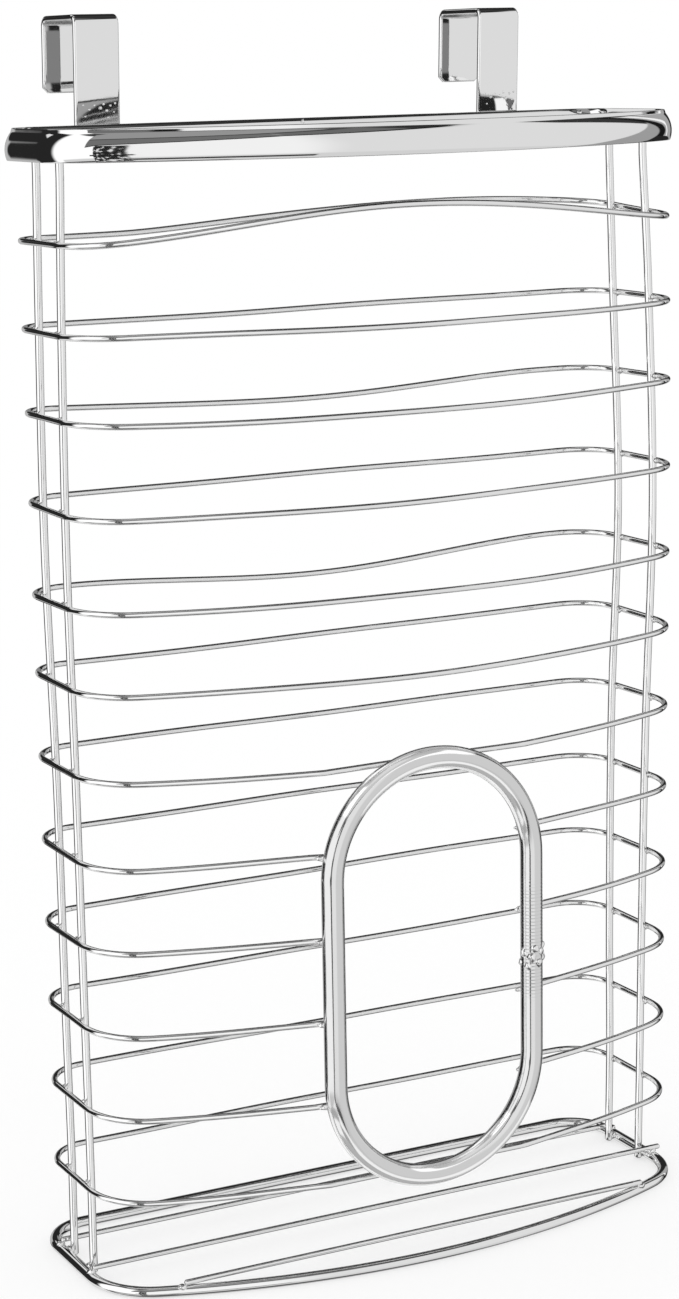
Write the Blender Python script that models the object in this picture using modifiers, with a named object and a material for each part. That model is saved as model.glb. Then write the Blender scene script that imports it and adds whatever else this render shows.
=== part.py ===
"""Over-the-door holder for plastic bags: a welded chrome wire basket that hangs from a cabinet door on two hooks.

Metres. +X is to the right as seen from the front, +Y is towards the door behind the holder, and +Z is up.
The origin is at the middle of the base of the whole holder's box, so that it stands on z = 0.
Pieces that are welded together keep WELD_GAP between them.
"""

import math

import bmesh
import bpy

# Driving dimensions
WELD_GAP = 0.0003
HOLDER_HEIGHT = 0.4145
POST_X = 0.1080
POST_WIRE = 0.0027
POST_TOP = 0.3770
POST_STEPS = 24
# The posts are not quite straight. At these heights the pieces at the left and right sides stand this far
# to the right of their plain place, and each post stands this far in front of the basket's back.
BEND_HEIGHTS = (0.0060, 0.0350, 0.0850, 0.1650, 0.2450, 0.3200, 0.3650)
SIDE_SHIFTS = {
    "left": (-0.0010, 0.0, 0.0, 0.0, 0.0, 0.0, 0.0),
    "right": (-0.0010, 0.0004, 0.0006, 0.0013, 0.0018, 0.0012, 0.0),
}
POST_SETBACKS = {
    ("left", "rear"): (0.0209, 0.0189, 0.0184, 0.0184, 0.0156, 0.0182, 0.0208),
    ("left", "front"): (0.0378, 0.0357, 0.0354, 0.0352, 0.0343, 0.0373, 0.0405),
    ("right", "rear"): (0.0206, 0.0190, 0.0182, 0.0180, 0.0212, 0.0180, 0.0174),
    ("right", "front"): (0.0405, 0.0390, 0.0394, 0.0403, 0.0431, 0.0405, 0.0382),
}

RING_COUNT = 12
RING_PITCH = 0.0284
TOP_RING_HEIGHT = 0.3440
RING_WIRE = 0.0020
RING_DEPTH = 0.0790
RING_BACK_RADIUS = 0.0150
RING_FRONT_RADIUS = 0.0225
RING_BOW_RADIUS = 0.2900
# Rings that were welded a little off their pitch: ring number and the difference in height.
RING_SHIFTS = {3: 0.0010, 5: -0.0017}
# Stretches where a ring's wire was left bent: centre and half length as fractions of the loop, counted
# from the middle of the front round by the right, and the rise in the middle of the stretch.
RING_BENDS = {
    1: [(0.00, 0.21, 0.0092), (0.41, 0.22, 0.0055)],
    3: [(0.52, 0.18, -0.0032)],
    5: [(0.50, 0.17, -0.0052)],
}

RIM_HEIGHT = 0.0102
RIM_CROWN = 0.0015
# The crown's slope at its top and at its foot: it leans in further at the top.
RIM_TOP_TURN = math.radians(40)
RIM_FOOT_TURN = math.radians(19)
RIM_EDGE_ROUND = 0.0018
RIM_HALF_WIDTH = 0.1129
RIM_TOP = 0.3794
RIM_DEPTH = 0.0879
RIM_BACK_RADIUS = 0.0122
RIM_FRONT_RADIUS = 0.0227
RIM_BOW_RADIUS = 0.1870

BASE_WIRE = 0.0037
BASE_DEPTH = 0.0850
BASE_BACK_RADIUS = 0.0160
BASE_FRONT_RADIUS = 0.0230
BASE_BOW_RADIUS = 0.2700
BASE_BACKSET = 0.0010
BASE_OFF_MIDDLE = -0.0010

LOOP_ROD = 0.0075
LOOP_WIDTH = 0.0825
LOOP_HEIGHT = 0.1516
LOOP_CENTRE_HEIGHT = 0.1027
LOOP_SETOUT = 0.0826
# The rings from this one down meet the loop; those between the loop's ends are cut there.
FIRST_RING_AT_LOOP = 7

FLOOR_WIRE = 0.0019
# Distance in front of the basket's back, and the left and right ends.
FLOOR_WIRES = {
    "rear": (0.0172, -0.1125, 0.1090),
    "middle": (0.0440, -0.1120, 0.1138),
    "front": (0.0700, -0.0900, 0.0890),
}

HOOK_X = 0.0755
HOOK_WIDTH = 0.0160
HOOK_THICKNESS = 0.0020
HOOK_BEND_RADIUS = 0.0020
HOOK_CLIP = 0.0018
DOOR_GAP = 0.0250
BACK_LEG_LENGTH = 0.0250
FRONT_LEG_FOOT = 0.3705
# Where the middle of the loop and of the hooks lies: they are welded on a little to the left.
WELDED_OFF_MIDDLE = -0.0015

# Fineness of the curves
CORNER_STEPS = 6
BOW_STEPS = 7
BACK_STEPS = 12
LOOP_STEPS = 12
BEND_STEPS = 4
EDGE_STEPS = 3
THIN_WIRE_SIDES = 1
THICK_WIRE_SIDES = 2

# Worked out from the driving dimensions
WELD_ENVELOPE = POST_X + POST_WIRE / 2 + WELD_GAP
RIM_WALL = RIM_HALF_WIDTH - WELD_ENVELOPE
RIM_BACKSET = -RIM_CROWN + RING_WIRE * 0.3
HOOK_FRONT_FACE = RIM_BACKSET + RIM_CROWN + WELD_GAP
FRONT_REACH = RIM_DEPTH - RIM_BACKSET + RIM_CROWN
BACK_REACH = HOOK_FRONT_FACE + 2 * HOOK_THICKNESS + DOOR_GAP
BACK_Y = (FRONT_REACH - BACK_REACH) / 2
BASE_HEIGHT = BASE_WIRE / 2


def clear_scene():
    for obj in list(bpy.data.objects):
        bpy.data.objects.remove(obj, do_unlink=True)


def make_collection(name):
    collection = bpy.data.collections.new(name)
    bpy.context.scene.collection.children.link(collection)
    return collection


def chrome(name, tint, roughness):
    material = bpy.data.materials.new(name)
    material.use_nodes = True
    shader = material.node_tree.nodes["Principled BSDF"]
    shader.inputs["Base Color"].default_value = (*tint, 1.0)
    shader.inputs["Metallic"].default_value = 1.0
    shader.inputs["Roughness"].default_value = roughness
    return material


def arc(centre_x, centre_y, radius, start, end, steps):
    """Points of an arc, both ends included."""
    angles = [start + (end - start) * i / steps for i in range(steps + 1)]
    return [(centre_x + radius * math.cos(a), centre_y + radius * math.sin(a)) for a in angles]


def right_half(half_width, depth, back_radius, front_radius, bow_radius):
    """Right half of a D-shaped loop, from the middle of its bowed front to the end of its straight back."""
    bow_centre = bow_radius - depth
    corner_x = half_width - front_radius
    corner_y = bow_centre - math.sqrt((bow_radius - front_radius) ** 2 - corner_x**2)
    turn = math.atan2(corner_y - bow_centre, corner_x)
    bow = arc(0.0, bow_centre, bow_radius, -math.pi / 2, turn, BOW_STEPS)
    front_corner = arc(corner_x, corner_y, front_radius, turn, 0.0, CORNER_STEPS)
    back_x = half_width - back_radius
    back_corner = arc(back_x, -back_radius, back_radius, 0.0, math.pi / 2, CORNER_STEPS)
    return bow + front_corner[1:] + back_corner


def d_outline(shape, back_steps=1):
    """Closed D-shaped outline, counted from the middle of the front round by the right."""
    right = right_half(*shape)
    left = [(-x, y) for x, y in reversed(right)]
    end_x = right[-1][0]
    back = [(end_x * (1 - 2 * i / back_steps), 0.0) for i in range(1, back_steps)]
    return right + back + left[:-1]


def fractions_of(outline):
    """How far along the closed outline each of its points lies, from 0 to 1."""
    closed = outline + outline[:1]
    lengths = [math.dist(a, b) for a, b in zip(closed, closed[1:])]
    total = sum(lengths)
    return [sum(lengths[:i]) / total for i in range(len(outline))]


def bend_rise(fraction, bends):
    """Height that the bent stretches add at a place on the loop."""
    rise = 0.0
    for centre, half_length, height in bends:
        away = abs((fraction - centre + 0.5) % 1.0 - 0.5) / half_length
        if away < 1.0:
            rise += height * math.cos(away * math.pi / 2) ** 1.5
    return rise


def at_height(values, height):
    """A length at a height, on a smooth curve through its values at BEND_HEIGHTS."""
    last = len(values) - 1
    height = min(max(height, BEND_HEIGHTS[0]), BEND_HEIGHTS[last])
    i = max(k for k in range(last) if BEND_HEIGHTS[k] <= height)
    slopes = []
    for k in (i, i + 1):
        low, high = max(k - 1, 0), min(k + 1, last)
        slopes.append((values[high] - values[low]) / (BEND_HEIGHTS[high] - BEND_HEIGHTS[low]))
    span = BEND_HEIGHTS[i + 1] - BEND_HEIGHTS[i]
    t = (height - BEND_HEIGHTS[i]) / span
    risen = t * t * (3 - 2 * t)
    bent = slopes[0] * t * (1 - t) ** 2 - slopes[1] * t * t * (1 - t)
    return values[i] + (values[i + 1] - values[i]) * risen + bent * span


def side_shift(x, half_width, height):
    """How far a point of a ring moves to the right with the bent posts."""
    side = "right" if x > 0 else "left"
    return at_height(SIDE_SHIFTS[side], height) * (x / half_width) ** 2


def behind_loop(x, y):
    """Moves a ring's front to the loop's rod: flat behind the loop, then straight on until it meets the bow."""
    weld_y = -LOOP_SETOUT + LOOP_ROD / 2 + WELD_GAP + RING_WIRE / 2
    weld_x = (LOOP_WIDTH - LOOP_ROD) / 2 + math.copysign(WELDED_OFF_MIDDLE, x * WELDED_OFF_MIDDLE)
    drop = RING_BOW_RADIUS - RING_DEPTH - weld_y
    turn = math.acos(RING_BOW_RADIUS / math.hypot(weld_x, drop)) + math.atan2(weld_x, drop)
    past = abs(x) - weld_x
    if past <= 0.0:
        return weld_y
    if abs(x) < RING_BOW_RADIUS * math.sin(turn):
        return weld_y + past * math.tan(turn)
    return y


def poly_curve(points, diameter, sides, closed):
    """Curve data for a wire through the points, with filled ends."""
    curve = bpy.data.curves.new("wire", "CURVE")
    curve.dimensions = "3D"
    curve.bevel_depth = diameter / 2
    curve.bevel_resolution = sides
    curve.use_fill_caps = True
    spline = curve.splines.new("POLY")
    spline.points.add(len(points) - 1)
    for place, point in zip(spline.points, points):
        place.co = (*point, 1.0)
    spline.use_cyclic_u = closed
    spline.use_smooth = True
    return curve


def add_object(name, data, collection, material):
    obj = bpy.data.objects.new(name, data)
    data.materials.append(material)
    collection.objects.link(obj)
    obj.location = (0.0, BACK_Y, 0.0)
    return obj


def add_ring(number, collection, material):
    """One thin horizontal ring. Those beside the loop are open there, with both ends behind its rod."""
    half_width = WELD_ENVELOPE + RING_WIRE / 2
    shape = (half_width, RING_DEPTH, RING_BACK_RADIUS, RING_FRONT_RADIUS, RING_BOW_RADIUS)
    bends = RING_BENDS.get(number, [])
    outline = d_outline(shape, BACK_STEPS if bends else 1)
    fractions = fractions_of(outline)
    height = TOP_RING_HEIGHT - RING_PITCH * (number - 1) + RING_SHIFTS.get(number, 0.0)
    at_loop = number >= FIRST_RING_AT_LOOP
    cut = FIRST_RING_AT_LOOP < number < RING_COUNT
    loop_half = (LOOP_WIDTH - LOOP_ROD) / 2
    points = []
    for (x, y), fraction in zip(outline, fractions):
        front = y < -RING_DEPTH / 2
        if cut and front and abs(x - WELDED_OFF_MIDDLE) < LOOP_WIDTH / 2:
            continue
        if at_loop and front:
            y = behind_loop(x, y)
        x += side_shift(x, half_width, height)
        points.append((x, y, height + bend_rise(fraction, bends)))
    if cut:
        weld_y = behind_loop(0.0, 0.0)
        right_end = (WELDED_OFF_MIDDLE + loop_half, weld_y, height)
        left_end = (WELDED_OFF_MIDDLE - loop_half, weld_y, height)
        points = [right_end] + points + [left_end]
    curve = poly_curve(points, RING_WIRE, THIN_WIRE_SIDES, not cut)
    return add_object(f"ring_{number:02d}", curve, collection, material)


def add_post(side, place, collection, material):
    """One upright wire inside the rings, from the floor of the basket up into the rim."""
    plain_x = POST_X if side == "right" else -POST_X
    points = []
    for i in range(POST_STEPS + 1):
        height = WELD_GAP + (POST_TOP - WELD_GAP) * i / POST_STEPS
        x = plain_x + at_height(SIDE_SHIFTS[side], height)
        points.append((x, -at_height(POST_SETBACKS[side, place], height), height))
    curve = poly_curve(points, POST_WIRE, THICK_WIRE_SIDES, False)
    return add_object(f"post_{side}_{place}", curve, collection, material)


def rim_profile(collection):
    """Cross-section of the rim: a crowned outer side that leans in at the top, and a rounded inner side."""
    half = RIM_HEIGHT / 2
    radius = RIM_HEIGHT / (math.sin(RIM_TOP_TURN) + math.sin(RIM_FOOT_TURN))
    crown_x = RIM_CROWN - radius
    crown_y = half - radius * math.sin(RIM_TOP_TURN)
    crown = arc(crown_x, crown_y, radius, -RIM_FOOT_TURN, 0.0, EDGE_STEPS)
    crown += arc(crown_x, crown_y, radius, 0.0, RIM_TOP_TURN, BEND_STEPS)[1:]
    edge_x = -RIM_WALL + RIM_EDGE_ROUND
    edge_y = half - RIM_EDGE_ROUND
    upper = arc(edge_x, edge_y, RIM_EDGE_ROUND, math.pi / 2, math.pi, EDGE_STEPS)
    lower = arc(edge_x, -edge_y, RIM_EDGE_ROUND, math.pi, 1.5 * math.pi, EDGE_STEPS)
    outline = (crown + upper + lower)[::-1]
    curve = bpy.data.curves.new("rim_profile", "CURVE")
    curve.dimensions = "2D"
    spline = curve.splines.new("POLY")
    spline.points.add(len(outline) - 1)
    for place, (x, y) in zip(spline.points, outline):
        place.co = (x, y, 0.0, 1.0)
    spline.use_cyclic_u = True
    profile = bpy.data.objects.new("rim_profile", curve)
    profile.hide_render = True
    profile.display_type = "WIRE"
    collection.objects.link(profile)
    return profile


def add_rim(collection, helpers, material):
    """The heavy band round the mouth."""
    shape = (RIM_HALF_WIDTH, RIM_DEPTH, RIM_BACK_RADIUS, RIM_FRONT_RADIUS, RIM_BOW_RADIUS)
    middle = RIM_TOP - RIM_HEIGHT / 2
    points = [(x, y + RIM_BACKSET, middle) for x, y in d_outline(shape)]
    curve = poly_curve(points, 0.0, 0, True)
    curve.twist_mode = "Z_UP"
    curve.bevel_mode = "OBJECT"
    curve.bevel_object = rim_profile(helpers)
    return add_object("rim", curve, collection, material)


def add_base_ring(collection, material):
    """The thick ring that the basket stands on."""
    half_width = WELD_ENVELOPE + BASE_WIRE / 2
    shape = (half_width, BASE_DEPTH, BASE_BACK_RADIUS, BASE_FRONT_RADIUS, BASE_BOW_RADIUS)
    points = [(x + BASE_OFF_MIDDLE, y + BASE_BACKSET, BASE_HEIGHT) for x, y in d_outline(shape)]
    curve = poly_curve(points, BASE_WIRE, THICK_WIRE_SIDES, True)
    return add_object("base_ring", curve, collection, material)


def add_floor_wire(place, collection, material):
    """One straight wire across the base ring's top."""
    setback, left, right = FLOOR_WIRES[place]
    height = BASE_HEIGHT + (BASE_WIRE + FLOOR_WIRE) / 2 + WELD_GAP
    points = [(left, -setback, height), (right, -setback, height)]
    curve = poly_curve(points, FLOOR_WIRE, THIN_WIRE_SIDES, False)
    return add_object(f"floor_wire_{place}", curve, collection, material)


def add_dispensing_loop(collection, material):
    """The upright rod loop that bags are pulled out through: two straight sides and two half circles."""
    radius = (LOOP_WIDTH - LOOP_ROD) / 2
    reach = (LOOP_HEIGHT - LOOP_ROD) / 2 - radius
    middle = WELDED_OFF_MIDDLE
    top = arc(middle, LOOP_CENTRE_HEIGHT + reach, radius, 0.0, math.pi, LOOP_STEPS)
    bottom = arc(middle, LOOP_CENTRE_HEIGHT - reach, radius, math.pi, 2 * math.pi, LOOP_STEPS)
    points = [(x, -LOOP_SETOUT, z) for x, z in top + bottom]
    curve = poly_curve(points, LOOP_ROD, THICK_WIRE_SIDES, True)
    return add_object("dispensing_loop", curve, collection, material)


def hook_path():
    """Side view of a hook along the middle of its strip, from the front leg's foot to the back leg's end."""
    front = HOOK_FRONT_FACE + HOOK_THICKNESS / 2
    back = front + DOOR_GAP + HOOK_THICKNESS
    top = HOLDER_HEIGHT - HOOK_THICKNESS / 2
    low = top - HOOK_BEND_RADIUS
    over_front = arc(front + HOOK_BEND_RADIUS, low, HOOK_BEND_RADIUS, math.pi, math.pi / 2, BEND_STEPS)
    over_back = arc(back - HOOK_BEND_RADIUS, low, HOOK_BEND_RADIUS, math.pi / 2, 0.0, BEND_STEPS)
    back_end = HOLDER_HEIGHT - BACK_LEG_LENGTH
    legs_end = [(back, back_end + HOOK_CLIP), (back, back_end)]
    return [(front, FRONT_LEG_FOOT)] + over_front + over_back + legs_end


def add_hook(side, collection, material):
    """A flat strip bent over the door's top edge, with the corners clipped off its back leg."""
    path = hook_path()
    clipped = HOOK_WIDTH / 2 - HOOK_CLIP
    centre = WELDED_OFF_MIDDLE + (HOOK_X if side == "right" else -HOOK_X)
    mesh = bpy.data.meshes.new(f"hook_{side}")
    strip = bmesh.new()
    rows = []
    for place, (y, z) in enumerate(path):
        half = clipped if place == len(path) - 1 else HOOK_WIDTH / 2
        rows.append([strip.verts.new((centre + x, y, z)) for x in (-half, half)])
    for (a, b), (c, d) in zip(rows, rows[1:]):
        strip.faces.new((a, b, d, c))
    strip.to_mesh(mesh)
    strip.free()
    hook = add_object(f"hook_{side}", mesh, collection, material)
    solid = hook.modifiers.new("strip thickness", "SOLIDIFY")
    solid.thickness = HOOK_THICKNESS
    solid.offset = 0.0
    solid.use_even_offset = True
    return hook


def build():
    clear_scene()
    holder = make_collection("plastic_bag_holder")
    helpers = make_collection("helpers")
    wire = chrome("chrome_wire", (0.80, 0.80, 0.81), 0.10)
    rod = chrome("chrome_rod", (0.78, 0.78, 0.79), 0.08)
    band = chrome("chrome_band", (0.76, 0.76, 0.77), 0.12)
    add_rim(holder, helpers, band)
    for side in ("left", "right"):
        add_hook(side, holder, band)
        for place in ("rear", "front"):
            add_post(side, place, holder, wire)
    for number in range(1, RING_COUNT + 1):
        add_ring(number, holder, wire)
    add_dispensing_loop(holder, rod)
    add_base_ring(holder, rod)
    for place in FLOOR_WIRES:
        add_floor_wire(place, holder, wire)


build()
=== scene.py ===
"""Looks of the over-the-door plastic bag holder: polished chrome wire, rod and strip in a pale studio."""

import math

import bmesh
import bpy
from mathutils import Matrix, Vector, noise


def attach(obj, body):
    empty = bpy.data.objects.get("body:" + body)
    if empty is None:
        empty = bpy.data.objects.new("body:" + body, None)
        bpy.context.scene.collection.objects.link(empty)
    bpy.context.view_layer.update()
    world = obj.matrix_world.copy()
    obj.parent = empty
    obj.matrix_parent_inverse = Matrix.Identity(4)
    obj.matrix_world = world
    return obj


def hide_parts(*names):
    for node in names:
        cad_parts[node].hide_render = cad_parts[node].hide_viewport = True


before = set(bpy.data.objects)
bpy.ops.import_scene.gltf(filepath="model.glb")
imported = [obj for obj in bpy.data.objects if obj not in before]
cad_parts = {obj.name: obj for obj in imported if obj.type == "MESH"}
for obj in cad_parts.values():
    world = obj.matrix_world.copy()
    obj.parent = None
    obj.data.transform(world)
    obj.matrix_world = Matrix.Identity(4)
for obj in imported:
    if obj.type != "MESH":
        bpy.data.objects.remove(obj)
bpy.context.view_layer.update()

# Sizes of the holder, in metres, as in the CAD model
GAP = 0.0003
BACK_Y = 0.0302
TOP = 0.4145
POST_X = 0.1080
POST_WIRE = 0.0027
POST_TOP = 0.3770
POST_STEPS = 60
# The posts are not quite straight. At these heights the pieces at the left and right sides stand this far
# to the right of their plain place, and each post stands this far in front of the basket's back.
BEND_HEIGHTS = (0.0060, 0.0350, 0.0850, 0.1650, 0.2450, 0.3200, 0.3650)
SIDE_SHIFTS = {
    "left": (-0.0010, 0.0, 0.0, 0.0, 0.0, 0.0, 0.0),
    "right": (-0.0010, 0.0004, 0.0006, 0.0013, 0.0018, 0.0012, 0.0),
}
POST_SETBACKS = {
    ("left", "rear"): (0.0209, 0.0189, 0.0184, 0.0184, 0.0156, 0.0182, 0.0208),
    ("left", "front"): (0.0378, 0.0357, 0.0354, 0.0352, 0.0343, 0.0373, 0.0405),
    ("right", "rear"): (0.0206, 0.0190, 0.0182, 0.0180, 0.0212, 0.0180, 0.0174),
    ("right", "front"): (0.0405, 0.0390, 0.0394, 0.0403, 0.0431, 0.0405, 0.0382),
}

RING_COUNT = 12
RING_PITCH = 0.0284
TOP_RING_HEIGHT = 0.3440
RING_WIRE = 0.0020
# Shape of a D: half its width, depth, radius of the back corners, of the front corners and of the bow
RING_SHAPE = (0.11065, 0.0790, 0.0150, 0.0225, 0.2900)
RING_SHIFTS = {3: 0.0010, 5: -0.0017}
# Bent stretches: middle and half length as shares of the way round from the front, and height
RING_BENDS = {
    1: [(0.00, 0.21, 0.0092), (0.41, 0.22, 0.0055)],
    3: [(0.52, 0.18, -0.0032)],
    5: [(0.50, 0.17, -0.0052)],
}
BEND_SHARPNESS = 1.5
# Unevenness of the rings: its height, and waves round a ring with their share of it and shift per ring
RING_WOBBLE = 0.00022
RING_WAVES = [(2, 1.0, 1.7), (5, 0.6, 2.9)]

# Rim band: how far its crown stands out from the outline, its depth behind that, and the outline's place
# behind the basket's back
RIM_SHAPE = (0.1129, 0.0879, 0.0122, 0.0227, 0.1870)
RIM_CROWN = 0.0015
RIM_WALL = 0.00325
RIM_BACKSET = -0.0009
RIM_HEIGHT = 0.0102
RIM_TOP = 0.3794
RIM_INSIDE_RADIUS = 0.0080
RIM_EDGE_ROUND = 0.0018
RIM_LIP_HEIGHT = 0.0013
RIM_LIP_ROUND = 0.00036
RIM_FOOT_LIP = 0.00025
# How far the crown of the rim leans back at its top and at its foot
RIM_TOP_TURN = math.radians(40)
RIM_FOOT_TURN = math.radians(19)

BASE_WIRE = 0.0037
BASE_SHAPE = (0.1115, 0.0850, 0.0160, 0.0230, 0.2700)
BASE_BACKSET = 0.0010
BASE_OFF_MIDDLE = -0.0010

LOOP_ROD = 0.0075
LOOP_WIDTH = 0.0825
LOOP_HEIGHT = 0.1516
LOOP_CENTRE_HEIGHT = 0.1027
LOOP_SETOUT = 0.0826
FIRST_RING_AT_LOOP = 7
# Ridges on the right of the loop, above and below its butt weld. Their depth is a share of the rod.
GRIP_HEIGHTS = (0.0850, 0.1300)
GRIP_PITCH = 0.0012
GRIP_DEPTH = 0.0070
GRIP_FADE = 0.0060
# Lumps of the butt weld: direction from straight ahead towards the left, in degrees, rise, and radius
LOOP_WELD_HEIGHT = 0.1020
LOOP_LUMPS = [
    (-62, 0.0030, 0.0013),
    (-70, -0.0012, 0.0016),
    (-30, 0.0014, 0.0014),
    (-12, -0.0024, 0.0015),
    (14, 0.0026, 0.0014),
    (30, -0.0004, 0.0017),
    (52, -0.0036, 0.0014),
    (80, 0.0010, 0.0015),
    (112, -0.0030, 0.0013),
    (-100, 0.0006, 0.0015),
]

# Floor wires: how far each stands in front of the basket's back, and its left and right ends
FLOOR_WIRE = 0.0019
FLOOR_WIRES = {
    "rear": (0.0172, -0.1125, 0.1090),
    "middle": (0.0440, -0.1120, 0.1138),
    "front": (0.0700, -0.0900, 0.0890),
}

HOOK_X = 0.0755
HOOK_WIDTH = 0.0160
HOOK_THICKNESS = 0.0020
HOOK_BEND_RADIUS = 0.0024
HOOK_CLIP = 0.0017
HOOK_EDGE_ROUND = 0.0009
HOOK_FRONT_FACE = 0.0009
HOOK_LEAN = math.radians(2.4)
DOOR_GAP = 0.0250
BACK_LEG_LENGTH = 0.0250
FRONT_LEG_FOOT = 0.3705
# The hooks and the loop are welded on a little to the left
WELDED_OFF_MIDDLE = -0.0015
# Small beads low on the hooks: place from the strip's middle and the rim's top, and radius
HOOK_SPATTER = [
    (-0.0052, 0.0062, 0.0003),
    (-0.0030, 0.0048, 0.0004),
    (-0.0012, 0.0061, 0.0003),
    (0.0008, 0.0052, 0.0006),
    (0.0020, 0.0064, 0.0004),
    (0.0031, 0.0043, 0.0005),
    (0.0044, 0.0059, 0.0004),
    (0.0056, 0.0038, 0.0003),
    (0.0061, 0.0066, 0.0004),
    (-0.0045, 0.0026, 0.0003),
    (0.0036, 0.0021, 0.0004),
]

# Sizes of the weld beads: half their width, depth and height
RING_BEAD = (0.0010, 0.0014, 0.0012)
RIM_BEAD = (0.0010, 0.0014, 0.0028)
BASE_BEAD = (0.0014, 0.0018, 0.0017)
LOOP_BEAD = (0.0040, 0.0011, 0.0012)
FLOOR_BEAD = (0.0015, 0.0014, 0.0011)
# Where the posts' beads at the rim and the base ring are: under the rim's top, and above the ground
RIM_BEAD_DROP = 0.0055
BASE_BEAD_HEIGHT = 0.0024
# Beads inside the back of the rim: place from the middle of the basket's back, level with the rim's top,
# and size
RIM_INSIDE_BEADS = [
    ((-0.0044, -0.0034, -0.0017), (0.0005, 0.0004, 0.0014)),
    ((0.1050, -0.0030, -0.0016), (0.0016, 0.0012, 0.0012)),
]
# Lumps on the beads: height as a share of the bead, fineness, and shift of the noise from bead to bead
BEAD_LUMPS = 0.22
BEAD_LUMP_SCALE = 1.6
BEAD_SHIFT = (7.3, 3.1, 1.0)
# The lumps of the loop's butt weld are sunk by this share of their size, and stretched upwards
LUMP_SINK = 0.5
LUMP_STRETCH = 1.2

# Fineness of the meshes
CORNER_STEPS = 18
BOW_STEPS = 40
BACK_STEPS = 40
LOOP_STEPS = 56
SIDE_STEPS = 12
GRIP_STEPS = 260
FLOOR_STEPS = 40
CROWN_STEPS = 24
INSIDE_STEPS = 20
EDGE_STEPS = 10
LIP_STEPS = 6
HOOK_LEG_STEPS = 8
HOOK_STEPS = 6
CLIP_STEPS = 4
STRIP_STEPS = 7
DOME_STEPS = 4
DOME_DEPTH = 0.6
THIN_SIDES = 16
POST_SIDES = 24
BASE_SIDES = 28
ROD_SIDES = 40

# Camera, from the front left and a little above the rim
CAMERA_PLACE = (-0.4501, -0.8534, 0.4001)
CAMERA_YAW = math.radians(25.76)
CAMERA_PITCH = math.radians(12.19)
CAMERA_ROLL = math.radians(1.32)
CAMERA_LENS = 80.01
CAMERA_SHIFT = (0.0616, 0.0231)
CAMERA_REACH = (0.01, 50.0)
SENSOR = 36.0

# The studio that the chrome reflects. Each panel has its range of azimuth (0 is straight in front of the
# holder, 90 to its right), its lower and upper edge as elevation at azimuth 0 and slope, the softness of
# its edges, all in degrees, and its brightness. An upper edge past 90 leaves a panel open at the top. Later
# panels cover earlier ones.
ROOM_BRIGHTNESS = 0.02
PANELS = [
    ("floor behind, left", (-200, -118), (-90, 0), (-27, 0), 2, 0.80),
    ("floor behind, right", (118, 200), (-90, 0), (-27, 0), 2, 0.60),
    ("lamp behind, left", (-200, -150), (27, 0), (60, 0), 3, 0.80),
    ("top lamp behind, left", (-200, -118), (68, 0), (150, 0), 3, 0.60),
    ("top lamp behind, right", (122, 200), (68, 0), (150, 0), 3, 0.60),
    ("screen behind, right", (120, 148), (-24, 0), (-6, 0), 3, 0.45),
    ("screen behind", (162, 181), (-22, 0), (12, 0), 3, 0.50),
    ("screen behind, left", (-181, -162), (-22, 0), (12, 0), 3, 0.50),
    ("door behind", (140, 172), (-2.5, 0), (14, 0), 1, 0.25),
    ("front screen", (-102, 104), (-90, 0), (95, 0), 3, 0.78),
    ("left lamp", (-118, -44), (-34, 0), (70, 0), 10, 1.12),
    ("front lamp", (-44, 4), (-24, 0), (90, 0), 14, 0.97),
    ("floor in front", (-102, 104), (-90, 0), (-23, 0), 4, 0.70),
    ("floor below", (-104, 110), (-90, 0), (-54, 0), 3, 0.12),
    ("edge of the table", (-50, -14), (-54, 0), (-42, 0), 2, 0.02),
    ("edge of the table, left", (-118, -48), (-41, 0), (-33, 0), 1.5, 0.04),
    ("hood of the left lamp", (-118, -58), (61, 0), (82, 0), 3, 0.05),
    ("ceiling", (-62, 0), (46, 0.45), (150, 0), 1.5, 0.17),
    ("ceiling, right", (0, 122), (46, 0.12), (150, 0), 1.5, 0.15),
    ("back of the ceiling", (-62, 32), (59, 0.2), (150, 0), 1.5, 0.32),
    ("beam", (-62, 60), (57, 0.2), (60, 0.2), 1, 0.06),
    ("dark ceiling", (44, 122), (46, 0.12), (150, 0), 8, 0.03),
    ("edge of the ceiling", (-62, 0), (45, 0.45), (48, 0.45), 1, 0.01),
    ("edge of the ceiling, right", (0, 60), (45, 0.12), (48, 0.12), 1, 0.01),
    ("edge of the floor", (-46, 4), (-33, 0), (-27, 0), 0.8, 0.05),
    ("right curtain", (80, 104), (158, -1.5), (95, 0), 3, 0.04),
    ("floor on the right", (70, 104), (-60, 0), (-167.0, 1.9), 2, 0.36),
    ("end wall", (99, 124), (-9, 0), (45, 0), 2, 0.40),
    ("slit in the end wall", (103, 106), (-9, 0), (45, 0), 1, 1.00),
    ("gap before the end wall", (97, 101), (-40, 0), (60, 0), 1, 0.01),
    ("foot of the end wall", (97, 124), (-60, 0), (-9, 0), 1, 0.02),
    ("foot of the stand", (-54, -36), (-14.5, 0), (-10, 0), 1.0, 0.02),
]
# The photographer's stand and cables, dark with bright chinks between them, in the same degrees
CLUTTER_AZIMUTHS = (-49, -37.5)
CLUTTER_ELEVATIONS = (-40, 24)
CLUTTER_SOFTNESS = 1.2
CLUTTER_GRAIN = (0.75, 0.11)
CLUTTER_BRIGHTNESS = (0.02, 0.82)
CHINK_LEVEL = 0.58
CHINK_SOFTNESS = 0.08
# Light boxes that only the loop reflects: name, height, turn about X, and power
LOOP_BOX_SIZE = (4.0, 3.6)
LOOP_BOXES = [("box_above", 1.6, 0.0, 26.0), ("box_below", -1.2, math.pi, 20.0)]

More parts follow.
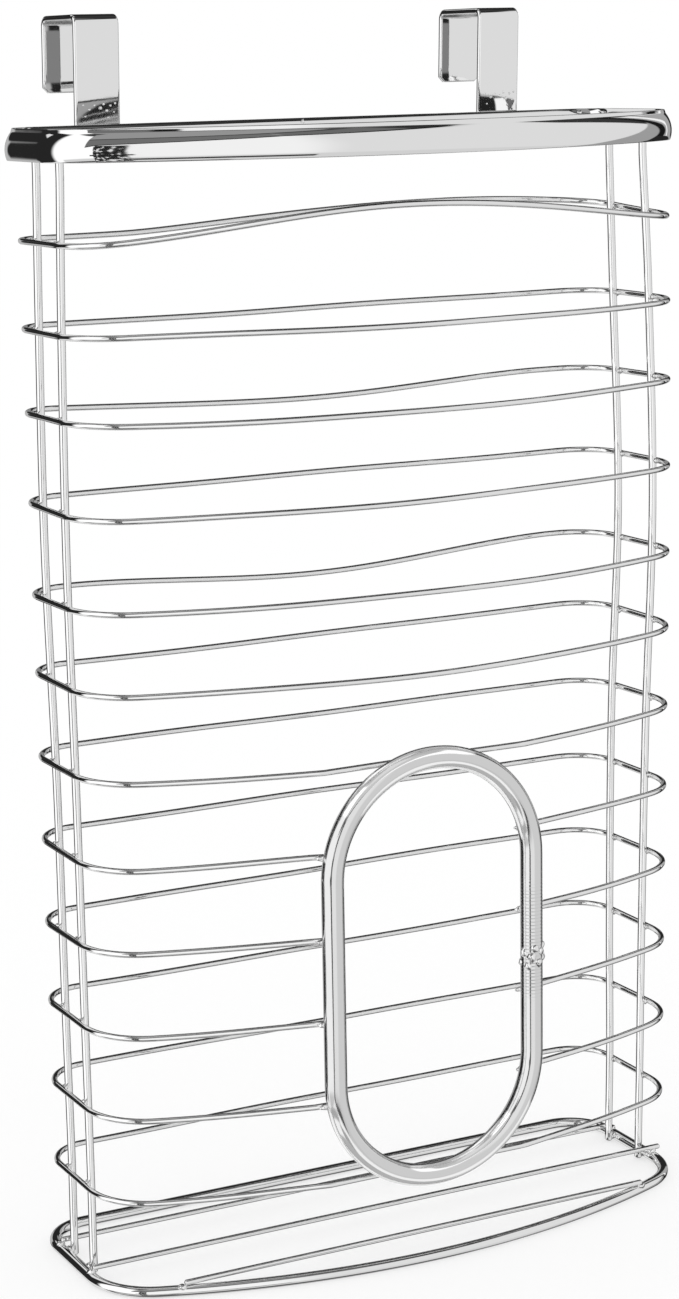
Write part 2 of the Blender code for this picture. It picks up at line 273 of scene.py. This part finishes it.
# Plating: grey of the metal, roughness, how much the smudges add to it, and height of the ripple
PLATING = {
    "chrome_wire": (0.92, 0.03, 0.03, 0.000004),
    "chrome_rod": (0.76, 0.09, 0.03, 0.000006),
    "chrome_band": (0.90, 0.025, 0.03, 0.000004),
}
SMUDGE_SCALE = 90.0
SMUDGE_DETAIL = 6.0
SMUDGE_RANGE = (0.35, 0.75)
RIPPLE_SCALE = 160.0
RIPPLE_DETAIL = 2.0

FLOOR_REACH = 12.0
FLOOR_GREY = (0.4, 0.4, 0.4, 1.0)
FLOOR_GLOW = 0.6
WHITE = (1.0, 1.0, 1.0, 1.0)


def arc(centre_x, centre_y, radius, start, end, steps):
    """Points of an arc, both ends included."""
    angles = [start + (end - start) * i / steps for i in range(steps + 1)]
    return [(centre_x + radius * math.cos(a), centre_y + radius * math.sin(a)) for a in angles]


def run(start, end, steps):
    """Points between two ends, neither included."""
    (x0, y0), (x1, y1) = start, end
    return [(x0 + (x1 - x0) * i / steps, y0 + (y1 - y0) * i / steps) for i in range(1, steps)]


def d_outline(half_width, depth, back_radius, front_radius, bow_radius):
    """Closed D-shaped outline, counted from the middle of the bowed front round by the right."""
    bow_centre = bow_radius - depth
    corner_x = half_width - front_radius
    corner_y = bow_centre - math.sqrt((bow_radius - front_radius) ** 2 - corner_x**2)
    turn = math.atan2(corner_y - bow_centre, corner_x)
    back_x = half_width - back_radius
    bow = arc(0.0, bow_centre, bow_radius, -math.pi / 2, turn, BOW_STEPS)
    front_corner = arc(corner_x, corner_y, front_radius, turn, 0.0, CORNER_STEPS)
    back_corner = arc(back_x, -back_radius, back_radius, 0.0, math.pi / 2, CORNER_STEPS)
    side = run(front_corner[-1], back_corner[0], SIDE_STEPS)
    right = bow + front_corner[1:] + side + back_corner
    left = [(-x, y) for x, y in reversed(right)]
    back = run(right[-1], left[0], BACK_STEPS)
    return right + back + left[:-1]


def fractions_of(outline):
    """How far along the closed outline each of its points lies, from 0 to 1."""
    closed = outline + outline[:1]
    total = 0.0
    reached = []
    for a, b in zip(closed, closed[1:]):
        reached.append(total)
        total += math.dist(a, b)
    return [length / total for length in reached]


def circle(radius, sides):
    """Cross-section of a wire."""
    angles = [2 * math.pi * i / sides for i in range(sides)]
    return [(radius * math.cos(a), radius * math.sin(a)) for a in angles]


def new_object(name, mesh, material):
    obj = bpy.data.objects.new(name, mesh)
    mesh.materials.append(material)
    bpy.context.scene.collection.objects.link(obj)
    return obj


def mesh_from(name, shape):
    """Smooth mesh of the shape, with its faces pointing out."""
    mesh = bpy.data.meshes.new(name)
    bmesh.ops.recalc_face_normals(shape, faces=shape.faces)
    shape.to_mesh(mesh)
    shape.free()
    mesh.shade_smooth()
    return mesh


def tangents(points, closed):
    """Direction of the path at each point."""
    count = len(points)
    result = []
    for i in range(count):
        before = points[i - 1] if closed or i > 0 else points[i]
        after = points[(i + 1) % count] if closed or i < count - 1 else points[i]
        result.append((after - before).normalized())
    return result


def skin(shape, outlines, closed):
    """Adds the faces between successive outlines, and the end faces of an open row of them."""
    pairs = list(zip(outlines, outlines[1:]))
    if closed:
        pairs.append((outlines[-1], outlines[0]))
    for first, second in pairs:
        for k in range(len(first)):
            m = (k + 1) % len(first)
            shape.faces.new((first[k], first[m], second[m], second[k]))
    if not closed:
        shape.faces.new(outlines[0])
        shape.faces.new(outlines[-1])


def sweep(shape, points, section, up, closed, scales=None):
    """Adds the section swept along the path. scales are its sizes at the points."""
    outlines = []
    for i, (point, along) in enumerate(zip(points, tangents(points, closed))):
        side = along.cross(up).normalized()
        over = side.cross(along)
        scale = scales[i] if scales else 1.0
        outlines.append([shape.verts.new(point + (side * a + over * b) * scale) for a, b in section])
    skin(shape, outlines, closed)


def dome_ends(points, radius):
    """The path's points with the ends drawn in, and the section's scale there, for rounded cut ends."""
    first = (points[0] - points[1]).normalized()
    last = (points[-1] - points[-2]).normalized()
    angles = [math.pi / 2 * i / (DOME_STEPS + 0.5) for i in range(1, DOME_STEPS + 1)]
    depth = radius * DOME_DEPTH
    start = [points[0] + first * (depth * (math.sin(a) - 1.0)) for a in reversed(angles)]
    end = [points[-1] + last * (depth * (math.sin(a) - 1.0)) for a in angles]
    body = [points[0] - first * depth] + list(points[1:-1]) + [points[-1] - last * depth]
    scales = [math.cos(a) for a in reversed(angles)] + [1.0] * len(body) + [math.cos(a) for a in angles]
    return start + body + end, scales


def wire_mesh(name, points, radius, sides, up, closed, scales=None):
    """Round wire along the path. An open wire has rounded ends."""
    shape = bmesh.new()
    if not closed:
        points, scales = dome_ends(points, radius)
    sweep(shape, points, circle(radius, sides), up, closed, scales)
    return mesh_from(name, shape)


def bend_rise(fraction, bends):
    """Height that the bent stretches add at a place on a ring."""
    rise = 0.0
    for centre, half_length, height in bends:
        away = abs((fraction - centre + 0.5) % 1.0 - 0.5) / half_length
        if away < 1.0:
            rise += height * math.cos(away * math.pi / 2) ** BEND_SHARPNESS
    return rise


def wobble(fraction, number):
    """Slight unevenness left by hand welding, the same at both ends of the loop."""
    turn = 2 * math.pi * fraction
    unevenness = sum(share * math.sin(waves * turn + number * shift) for waves, share, shift in RING_WAVES)
    return RING_WOBBLE * unevenness


def at_height(values, height):
    """A length at a height, on a smooth curve through its values at BEND_HEIGHTS."""
    last = len(values) - 1
    height = min(max(height, BEND_HEIGHTS[0]), BEND_HEIGHTS[last])
    i = max(k for k in range(last) if BEND_HEIGHTS[k] <= height)
    slopes = []
    for k in (i, i + 1):
        low, high = max(k - 1, 0), min(k + 1, last)
        slopes.append((values[high] - values[low]) / (BEND_HEIGHTS[high] - BEND_HEIGHTS[low]))
    span = BEND_HEIGHTS[i + 1] - BEND_HEIGHTS[i]
    t = (height - BEND_HEIGHTS[i]) / span
    risen = t * t * (3 - 2 * t)
    bent = slopes[0] * t * (1 - t) ** 2 - slopes[1] * t * t * (1 - t)
    return values[i] + (values[i + 1] - values[i]) * risen + bent * span


def post_place(side, place, height):
    """Middle of a post at a height."""
    x = (POST_X if side == "right" else -POST_X) + at_height(SIDE_SHIFTS[side], height)
    return Vector((x, BACK_Y - at_height(POST_SETBACKS[side, place], height), height))


def side_shift(x, half_width, height):
    """How far a point of a ring moves to the right with the bent posts."""
    side = "right" if x > 0 else "left"
    return at_height(SIDE_SHIFTS[side], height) * (x / half_width) ** 2


def behind_loop(x, y):
    """How far back a ring's front lies where the loop draws it out: flat behind the loop, then straight
    on until it meets the bow."""
    depth, bow_radius = RING_SHAPE[1], RING_SHAPE[-1]
    weld_y = -LOOP_SETOUT + LOOP_ROD / 2 + GAP + RING_WIRE / 2
    weld_x = (LOOP_WIDTH - LOOP_ROD) / 2 + math.copysign(WELDED_OFF_MIDDLE, x * WELDED_OFF_MIDDLE)
    drop = bow_radius - depth - weld_y
    turn = math.acos(bow_radius / math.hypot(weld_x, drop)) + math.atan2(weld_x, drop)
    past = abs(x) - weld_x
    if past <= 0.0:
        return weld_y
    if abs(x) < bow_radius * math.sin(turn):
        return weld_y + past * math.tan(turn)
    return y


def ring_height(number):
    """Height of a ring. They are counted from the top."""
    return TOP_RING_HEIGHT - RING_PITCH * (number - 1) + RING_SHIFTS.get(number, 0.0)


def ring_points(number):
    """Middle line of a ring, and whether it closes."""
    outline = d_outline(*RING_SHAPE)
    height = ring_height(number)
    bends = RING_BENDS.get(number, [])
    at_loop = number >= FIRST_RING_AT_LOOP
    cut = FIRST_RING_AT_LOOP < number < RING_COUNT
    points = []
    for (x, y), fraction in zip(outline, fractions_of(outline)):
        front = y < -RING_SHAPE[1] / 2
        if cut and front and abs(x - WELDED_OFF_MIDDLE) < LOOP_WIDTH / 2:
            continue
        if at_loop and front:
            y = behind_loop(x, y)
        x += side_shift(x, RING_SHAPE[0], height)
        rise = bend_rise(fraction, bends) + wobble(fraction, number)
        points.append(Vector((x, BACK_Y + y, height + rise)))
    if cut:
        end_y = BACK_Y + behind_loop(0.0, 0.0)
        half = (LOOP_WIDTH - LOOP_ROD) / 2
        ends = [Vector((WELDED_OFF_MIDDLE + x, end_y, height)) for x in (half, -half)]
        points = ends[:1] + points + ends[1:]
    return points, not cut


def finish_piece(obj, nodes):
    """Hangs the piece on the frame's root body and hides the CAD parts that it stands for."""
    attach(obj, "root")
    if nodes:
        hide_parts(*nodes)
    return obj


def add_rings(material):
    for number in range(1, RING_COUNT + 1):
        points, closed = ring_points(number)
        mesh = wire_mesh("ring", points, RING_WIRE / 2, THIN_SIDES, Vector((0, 0, 1)), closed)
        name = f"ring_{number:02d}"
        finish_piece(new_object(f"{name}_wire", mesh, material), [name])


def add_posts(material):
    heights = [GAP + (POST_TOP - GAP) * i / POST_STEPS for i in range(POST_STEPS + 1)]
    for side, place in POST_SETBACKS:
        points = [post_place(side, place, height) for height in heights]
        mesh = wire_mesh("post", points, POST_WIRE / 2, POST_SIDES, Vector((0, 1, 0)), False)
        name = f"post_{side}_{place}"
        finish_piece(new_object(f"{name}_wire", mesh, material), [name])


def rim_section():
    """Cross-section of the rim band: crowned outside and inside, with a small upright lip round its top."""
    half = RIM_HEIGHT / 2
    shoulder = half - RIM_LIP_HEIGHT
    radius = (shoulder + half - RIM_FOOT_LIP) / (math.sin(RIM_TOP_TURN) + math.sin(RIM_FOOT_TURN))
    middle = shoulder - radius * math.sin(RIM_TOP_TURN)
    crown = arc(RIM_CROWN - radius, middle, radius, -RIM_FOOT_TURN, RIM_TOP_TURN, CROWN_STEPS)
    bend = RIM_FOOT_LIP / (1 - math.sin(RIM_FOOT_TURN))
    foot_x = crown[0][0] - bend * math.cos(RIM_FOOT_TURN)
    foot = arc(foot_x, bend - half, bend, -math.pi / 2, -RIM_FOOT_TURN, LIP_STEPS)
    inside_x = RIM_INSIDE_RADIUS - RIM_WALL
    top_reach = RIM_INSIDE_RADIUS - RIM_LIP_ROUND
    top_turn = math.asin((half - RIM_LIP_ROUND) / top_reach)
    lip_x = inside_x - top_reach * math.cos(top_turn)
    lip = arc(lip_x, half - RIM_LIP_ROUND, RIM_LIP_ROUND, 0.0, math.pi - top_turn, EDGE_STEPS)
    edge_reach = RIM_INSIDE_RADIUS - RIM_EDGE_ROUND
    edge_turn = math.asin((half - RIM_EDGE_ROUND) / edge_reach)
    edge_x = inside_x - edge_reach * math.cos(edge_turn)
    inside = arc(inside_x, 0.0, RIM_INSIDE_RADIUS, math.pi - top_turn, math.pi + edge_turn, INSIDE_STEPS)
    edge = arc(edge_x, RIM_EDGE_ROUND - half, RIM_EDGE_ROUND, math.pi + edge_turn, 1.5 * math.pi, EDGE_STEPS)
    lip_face = run(crown[-1], lip[0], LIP_STEPS)
    return foot[:-1] + crown + lip_face + lip + inside[1:] + edge[1:]


def add_rim(material):
    shape = bmesh.new()
    height = RIM_TOP - RIM_HEIGHT / 2
    points = [Vector((x, BACK_Y + y + RIM_BACKSET, height)) for x, y in d_outline(*RIM_SHAPE)]
    sweep(shape, points, rim_section(), Vector((0, 0, 1)), True)
    finish_piece(new_object("rim_band", mesh_from("rim", shape), material), ["rim"])


def hook_side_view():
    """Side view of a hook along the middle of its strip, with the width's share at each point."""
    front = HOOK_FRONT_FACE + HOOK_THICKNESS / 2
    back = front + DOOR_GAP + HOOK_THICKNESS
    top = TOP - HOOK_THICKNESS / 2
    low = top - HOOK_BEND_RADIUS
    foot = TOP - BACK_LEG_LENGTH
    start = (front, FRONT_LEG_FOOT)
    over_front = arc(front + HOOK_BEND_RADIUS, low, HOOK_BEND_RADIUS, math.pi, math.pi / 2, EDGE_STEPS)
    over_back = arc(back - HOOK_BEND_RADIUS, low, HOOK_BEND_RADIUS, math.pi / 2, 0.0, EDGE_STEPS)
    path = [start] + run(start, over_front[0], HOOK_LEG_STEPS) + over_front
    path += run(over_front[-1], over_back[0], HOOK_STEPS) + over_back
    path += run(over_back[-1], (back, foot + HOOK_CLIP), HOOK_STEPS)
    widths = [1.0] * len(path)
    for i in range(CLIP_STEPS + 1):
        share = i / CLIP_STEPS
        path.append((back, foot + HOOK_CLIP * (1 - share)))
        widths.append(1.0 - HOOK_CLIP * 2 / HOOK_WIDTH * share)
    return path, widths


def strip_section():
    """Cross-section of the hook's strip, with rounded long edges."""
    half = HOOK_WIDTH / 2 - HOOK_EDGE_ROUND
    thick = HOOK_THICKNESS / 2 - HOOK_EDGE_ROUND
    corners = [(half, thick, 0.0), (-half, thick, 0.5), (-half, -thick, 1.0), (half, -thick, 1.5)]
    section = []
    for x, y, turn in corners:
        section += arc(x, y, HOOK_EDGE_ROUND, math.pi * turn, math.pi * (turn + 0.5), STRIP_STEPS)
    return section


def add_hooks(material):
    path, widths = hook_side_view()
    across = Vector((1, 0, 0))
    for side, x in (("left", WELDED_OFF_MIDDLE - HOOK_X), ("right", WELDED_OFF_MIDDLE + HOOK_X)):
        points = []
        for y, z in path:
            lean = max(z - RIM_TOP, 0.0) * math.tan(HOOK_LEAN)
            points.append(Vector((x, BACK_Y + y - lean, z)))
        shape = bmesh.new()
        outlines = []
        for point, along, wide in zip(points, tangents(points, False), widths):
            out = across.cross(along).normalized()
            outline = [point + across * (a * wide) + out * b for a, b in strip_section()]
            outlines.append([shape.verts.new(spot) for spot in outline])
        skin(shape, outlines, False)
        name = f"hook_{side}"
        finish_piece(new_object(f"{name}_strip", mesh_from("hook", shape), material), [name])


def add_base_ring(material):
    points = []
    for x, y in d_outline(*BASE_SHAPE):
        points.append(Vector((x + BASE_OFF_MIDDLE, BACK_Y + y + BASE_BACKSET, BASE_WIRE / 2)))
    mesh = wire_mesh("base", points, BASE_WIRE / 2, BASE_SIDES, Vector((0, 0, 1)), True)
    finish_piece(new_object("base_ring_wire", mesh, material), ["base_ring"])


def add_floor_wires(material):
    height = BASE_WIRE + FLOOR_WIRE / 2 + GAP
    for place, (setback, left, right) in FLOOR_WIRES.items():
        points = []
        for i in range(FLOOR_STEPS + 1):
            x = left + (right - left) * (i / FLOOR_STEPS)
            points.append(Vector((x, BACK_Y - setback, height)))
        mesh = wire_mesh("floor", points, FLOOR_WIRE / 2, THIN_SIDES, Vector((0, 0, 1)), False)
        name = f"floor_wire_{place}"
        finish_piece(new_object(f"{name}_rod", mesh, material), [name])


def loop_points():
    """Middle line of the loop as seen from the front, from its right side round by the top."""
    radius = (LOOP_WIDTH - LOOP_ROD) / 2
    reach = (LOOP_HEIGHT - LOOP_ROD) / 2 - radius
    middle = WELDED_OFF_MIDDLE
    top = arc(middle, LOOP_CENTRE_HEIGHT + reach, radius, 0.0, math.pi, LOOP_STEPS)
    bottom = arc(middle, LOOP_CENTRE_HEIGHT - reach, radius, math.pi, 2 * math.pi, LOOP_STEPS)
    sides = run(top[-1], bottom[0], SIDE_STEPS)
    return top + sides + bottom + run(bottom[-1], top[0], GRIP_STEPS)


def grip_scale(x, z):
    """Size of the rod at a place: closing the loop left a stretch of fine ridges on its right."""
    low, high = GRIP_HEIGHTS
    if x < 0 or not low < z < high:
        return 1.0
    fade = min(z - low, high - z, GRIP_FADE) / GRIP_FADE
    return 1.0 + GRIP_DEPTH * fade * math.sin(2 * math.pi * z / GRIP_PITCH)


def add_loop(material):
    places = loop_points()
    points = [Vector((x, BACK_Y - LOOP_SETOUT, z)) for x, z in places]
    scales = [grip_scale(x, z) for x, z in places]
    mesh = wire_mesh("loop", points, LOOP_ROD / 2, ROD_SIDES, Vector((0, 1, 0)), True, scales)
    return finish_piece(new_object("dispensing_loop_rod", mesh, material), ["dispensing_loop"])


def bead(shape, centre, size, seed):
    """Adds a lumpy weld bead of that size at the point, with lumps of its own for each seed."""
    made = bmesh.ops.create_icosphere(shape, subdivisions=3, radius=1.0)
    for vert in made["verts"]:
        place = vert.co * BEAD_LUMP_SCALE + Vector(BEAD_SHIFT) * seed
        lump = 1.0 + BEAD_LUMPS * noise.noise(place)
        vert.co = Vector([c * s * lump for c, s in zip(vert.co, size)]) + centre


def post_welds():
    """Where the posts are welded to the rings, the rim and the base ring, and the beads' sizes."""
    reach = POST_WIRE / 2 + GAP / 2
    welds = []
    for side, place in POST_SETBACKS:
        out = Vector((reach if side == "right" else -reach, 0.0, 0.0))
        for number in range(1, RING_COUNT + 1):
            welds.append((post_place(side, place, ring_height(number)) + out, RING_BEAD))
        welds.append((post_place(side, place, RIM_TOP - RIM_BEAD_DROP) + out, RIM_BEAD))
        welds.append((post_place(side, place, BASE_BEAD_HEIGHT) + out, BASE_BEAD))
    return welds


def loop_welds():
    """Where the rings are welded behind the loop, and the bulge where the loop's own ends meet."""
    half = (LOOP_WIDTH - LOOP_ROD) / 2
    weld_y = BACK_Y + behind_loop(0.0, 0.0) - RING_WIRE / 2
    welds = []
    for number in range(FIRST_RING_AT_LOOP + 1, RING_COUNT):
        for x in (-half, half):
            welds.append((Vector((WELDED_OFF_MIDDLE + x, weld_y, ring_height(number))), LOOP_BEAD))
    for turn, rise, size in LOOP_LUMPS:
        reach = LOOP_ROD / 2 - size * LUMP_SINK
        across = WELDED_OFF_MIDDLE + half - reach * math.sin(math.radians(turn))
        y = BACK_Y - LOOP_SETOUT - reach * math.cos(math.radians(turn))
        welds.append((Vector((across, y, LOOP_WELD_HEIGHT + rise)), (size, size, size * LUMP_STRETCH)))
    return welds


def floor_welds():
    """Where the floor wires are welded onto the base ring."""
    outline = [(x + BASE_OFF_MIDDLE, y + BASE_BACKSET) for x, y in d_outline(*BASE_SHAPE)]
    welds = []
    for setback, left, right in FLOOR_WIRES.values():
        for end in (left, right):
            x, _ = min(outline, key=lambda spot: math.dist(spot, (end, -setback)))
            welds.append((Vector((x, BACK_Y - setback, BASE_WIRE)), FLOOR_BEAD))
    return welds


def hook_welds():
    """Small beads low on the hooks' faces, spat there by the weld to the rim."""
    welds = []
    for hook_x in (WELDED_OFF_MIDDLE - HOOK_X, WELDED_OFF_MIDDLE + HOOK_X):
        for across, rise, size in HOOK_SPATTER:
            y = BACK_Y + HOOK_FRONT_FACE - rise * math.tan(HOOK_LEAN)
            welds.append((Vector((hook_x + across, y, RIM_TOP + rise)), (size, size / 2, size)))
    return welds


def rim_welds():
    """The seam where the rim's own ends meet in its back, and a bead in its right back corner."""
    corner = Vector((0.0, BACK_Y, RIM_TOP))
    return [(corner + Vector(place), size) for place, size in RIM_INSIDE_BEADS]


def add_welds(material):
    """Weld beads between the pieces."""
    shape = bmesh.new()
    welds = post_welds() + loop_welds() + floor_welds() + hook_welds() + rim_welds()
    for seed, (place, size) in enumerate(welds):
        bead(shape, place, size, seed)
    finish_piece(new_object("weld_beads", mesh_from("welds", shape), material), [])


def chrome(name):
    """Polished plating, with slight smudges in its roughness and a faint ripple."""
    grey, roughness, dirt, ripple = PLATING[name]
    material = bpy.data.materials.new(name)
    material.use_nodes = True
    tree = material.node_tree
    shader = tree.nodes["Principled BSDF"]
    shader.inputs["Base Color"].default_value = (grey, grey, grey, 1.0)
    shader.inputs["Metallic"].default_value = 1.0
    place = tree.nodes.new("ShaderNodeTexCoord")
    smudge = tree.nodes.new("ShaderNodeTexNoise")
    smudge.inputs["Scale"].default_value = SMUDGE_SCALE
    smudge.inputs["Detail"].default_value = SMUDGE_DETAIL
    tree.links.new(place.outputs["Object"], smudge.inputs["Vector"])
    spread = tree.nodes.new("ShaderNodeMapRange")
    spread.inputs["From Min"].default_value = SMUDGE_RANGE[0]
    spread.inputs["From Max"].default_value = SMUDGE_RANGE[1]
    spread.inputs["To Min"].default_value = roughness
    spread.inputs["To Max"].default_value = roughness + dirt
    tree.links.new(smudge.outputs["Fac"], spread.inputs["Value"])
    tree.links.new(spread.outputs["Result"], shader.inputs["Roughness"])
    wave = tree.nodes.new("ShaderNodeTexNoise")
    wave.inputs["Scale"].default_value = RIPPLE_SCALE
    wave.inputs["Detail"].default_value = RIPPLE_DETAIL
    tree.links.new(place.outputs["Object"], wave.inputs["Vector"])
    bump = tree.nodes.new("ShaderNodeBump")
    bump.inputs["Strength"].default_value = 1.0
    bump.inputs["Distance"].default_value = ripple
    tree.links.new(wave.outputs["Fac"], bump.inputs["Height"])
    tree.links.new(bump.outputs["Normal"], shader.inputs["Normal"])
    return material


class Maths:
    """Short spelling for a tree of maths nodes."""

    def __init__(self, tree):
        self.tree = tree

    def feed(self, socket, value):
        if isinstance(value, (int, float)):
            socket.default_value = value
        else:
            self.tree.links.new(value, socket)

    def do(self, operation, a, b=0.0):
        node = self.tree.nodes.new("ShaderNodeMath")
        node.operation = operation
        self.feed(node.inputs[0], a)
        self.feed(node.inputs[1], b)
        return node.outputs[0]

    def step(self, value, edge, softness):
        """0 below the edge and 1 above it, with a smooth change of that width."""
        node = self.tree.nodes.new("ShaderNodeMapRange")
        node.interpolation_type = "SMOOTHSTEP"
        self.feed(node.inputs["Value"], value)
        node.inputs["From Min"].default_value = edge - softness / 2
        node.inputs["From Max"].default_value = edge + softness / 2
        return node.outputs["Result"]

    def slanted(self, elevation, azimuth, slope):
        """Height above a line that rises by the slope for each degree to the right."""
        if slope == 0:
            return elevation
        return self.do("SUBTRACT", elevation, self.do("MULTIPLY", azimuth, slope))

    def over(self, level, mask, brightness):
        """The level with that brightness laid over it where the mask is 1."""
        kept = self.do("MULTIPLY", level, self.do("SUBTRACT", 1.0, mask))
        return self.do("ADD", kept, self.do("MULTIPLY", mask, brightness))

    def inside(self, value, limits, softness):
        """1 between the limits and 0 outside them."""
        above = self.step(value, limits[0], softness)
        below = self.do("SUBTRACT", 1.0, self.step(value, limits[1], softness))
        return self.do("MULTIPLY", above, below)


def panel_level(maths, azimuth, elevation):
    """Brightness of the panels in a direction."""
    level = ROOM_BRIGHTNESS
    for _, azimuths, lower, upper, softness, brightness in PANELS:
        above = maths.step(maths.slanted(elevation, azimuth, lower[1]), lower[0], softness)
        beyond = maths.step(maths.slanted(elevation, azimuth, upper[1]), upper[0], softness)
        height = maths.do("MULTIPLY", above, maths.do("SUBTRACT", 1.0, beyond))
        mask = maths.do("MULTIPLY", maths.inside(azimuth, azimuths, softness), height)
        level = maths.over(level, mask, brightness)
    return level


def with_clutter(maths, level, azimuth, elevation):
    """The level with the stand and cables in front of it."""
    grain = maths.tree.nodes.new("ShaderNodeCombineXYZ")
    maths.feed(grain.inputs[0], maths.do("MULTIPLY", azimuth, CLUTTER_GRAIN[0]))
    maths.feed(grain.inputs[1], maths.do("MULTIPLY", elevation, CLUTTER_GRAIN[1]))
    speckle = maths.tree.nodes.new("ShaderNodeTexNoise")
    speckle.inputs["Scale"].default_value = 1.0
    speckle.inputs["Detail"].default_value = 3.0
    maths.tree.links.new(grain.outputs[0], speckle.inputs["Vector"])
    dark, bright = CLUTTER_BRIGHTNESS
    chinks = maths.step(speckle.outputs["Fac"], CHINK_LEVEL, CHINK_SOFTNESS)
    lit = maths.do("ADD", maths.do("MULTIPLY", chinks, bright - dark), dark)
    across = maths.inside(azimuth, CLUTTER_AZIMUTHS, CLUTTER_SOFTNESS)
    upward = maths.inside(elevation, CLUTTER_ELEVATIONS, CLUTTER_SOFTNESS)
    return maths.over(level, maths.do("MULTIPLY", across, upward), lit)


def studio_world():
    """Surroundings: a plain pale room, in which the chrome reflects large screens with dark gaps between."""
    world = bpy.data.worlds.new("studio")
    bpy.context.scene.world = world
    world.use_nodes = True
    tree = world.node_tree
    tree.nodes.clear()
    maths = Maths(tree)
    direction = tree.nodes.new("ShaderNodeTexCoord")
    parts = tree.nodes.new("ShaderNodeSeparateXYZ")
    tree.links.new(direction.outputs["Generated"], parts.inputs[0])
    forward = maths.do("MULTIPLY", parts.outputs["Y"], -1.0)
    azimuth = maths.do("DEGREES", maths.do("ARCTAN2", parts.outputs["X"], forward))
    elevation = maths.do("DEGREES", maths.do("ARCSINE", parts.outputs["Z"]))
    level = with_clutter(maths, panel_level(maths, azimuth, elevation), azimuth, elevation)
    rays = tree.nodes.new("ShaderNodeLightPath")
    chosen = tree.nodes.new("ShaderNodeMix")
    chosen.data_type = "FLOAT"
    tree.links.new(rays.outputs["Is Glossy Ray"], chosen.inputs["Factor"])
    chosen.inputs["A"].default_value = 1.0
    tree.links.new(level, chosen.inputs["B"])
    light = tree.nodes.new("ShaderNodeBackground")
    tree.links.new(chosen.outputs["Result"], light.inputs["Color"])
    out = tree.nodes.new("ShaderNodeOutputWorld")
    tree.links.new(light.outputs[0], out.inputs["Surface"])
    world.cycles.sampling_method = "NONE"


def add_floor():
    """Plain pale floor, far wider than the view."""
    mesh = bpy.data.meshes.new("studio_floor")
    signs = [(-1, -1), (1, -1), (1, 1), (-1, 1)]
    corners = [(x * FLOOR_REACH, y * FLOOR_REACH, 0) for x, y in signs]
    mesh.from_pydata(corners, [], [(0, 1, 2, 3)])
    material = bpy.data.materials.new("pale_floor")
    material.use_nodes = True
    shader = material.node_tree.nodes["Principled BSDF"]
    shader.inputs["Base Color"].default_value = FLOOR_GREY
    shader.inputs["Emission Color"].default_value = WHITE
    shader.inputs["Emission Strength"].default_value = FLOOR_GLOW
    shader.inputs["Roughness"].default_value = 1.0
    shader.inputs["Specular IOR Level"].default_value = 0.0
    floor = new_object("studio_floor", mesh, material)
    floor.visible_glossy = False


def add_loop_boxes(loop):
    """Soft light boxes above and below that only the loop reflects, because it stands out from the basket."""
    lit = bpy.data.collections.new("lit_by_the_boxes")
    lit.objects.link(loop)
    for name, height, turn, power in LOOP_BOXES:
        data = bpy.data.lights.new(name, "AREA")
        data.shape = "RECTANGLE"
        data.size, data.size_y = LOOP_BOX_SIZE
        data.energy = power
        box = bpy.data.objects.new(name, data)
        box.location = (0.0, 0.0, height)
        box.rotation_euler = (turn, 0.0, 0.0)
        box.visible_camera = False
        box.light_linking.receiver_collection = lit
        box.light_linking.blocker_collection = lit
        bpy.context.scene.collection.objects.link(box)


def add_camera():
    """Camera at the front left, with the small roll of a hand-held picture."""
    data = bpy.data.cameras.new("camera")
    data.sensor_width = SENSOR
    data.lens = CAMERA_LENS
    data.shift_x, data.shift_y = CAMERA_SHIFT
    data.clip_start, data.clip_end = CAMERA_REACH
    camera = bpy.data.objects.new("camera", data)
    bpy.context.scene.collection.objects.link(camera)
    level = Vector((math.sin(CAMERA_YAW), math.cos(CAMERA_YAW), 0.0))
    forward = level * math.cos(CAMERA_PITCH) - Vector((0, 0, math.sin(CAMERA_PITCH)))
    right = Vector((math.cos(CAMERA_YAW), -math.sin(CAMERA_YAW), 0.0))
    down = forward.cross(right)
    turned_right = right * math.cos(CAMERA_ROLL) + down * math.sin(CAMERA_ROLL)
    turned_down = down * math.cos(CAMERA_ROLL) - right * math.sin(CAMERA_ROLL)
    axes = Matrix((turned_right, -turned_down, -forward)).transposed()
    camera.matrix_world = Matrix.Translation(CAMERA_PLACE) @ axes.to_4x4()
    bpy.context.scene.camera = camera


wire = chrome("chrome_wire")
rod = chrome("chrome_rod")
band = chrome("chrome_band")
add_rings(wire)
add_posts(wire)
add_rim(band)
add_hooks(band)
add_base_ring(wire)
add_floor_wires(wire)
add_loop_boxes(add_loop(rod))
add_welds(wire)
studio_world()
add_floor()
add_camera()
bpy.context.scene.view_settings.view_transform = "Standard"
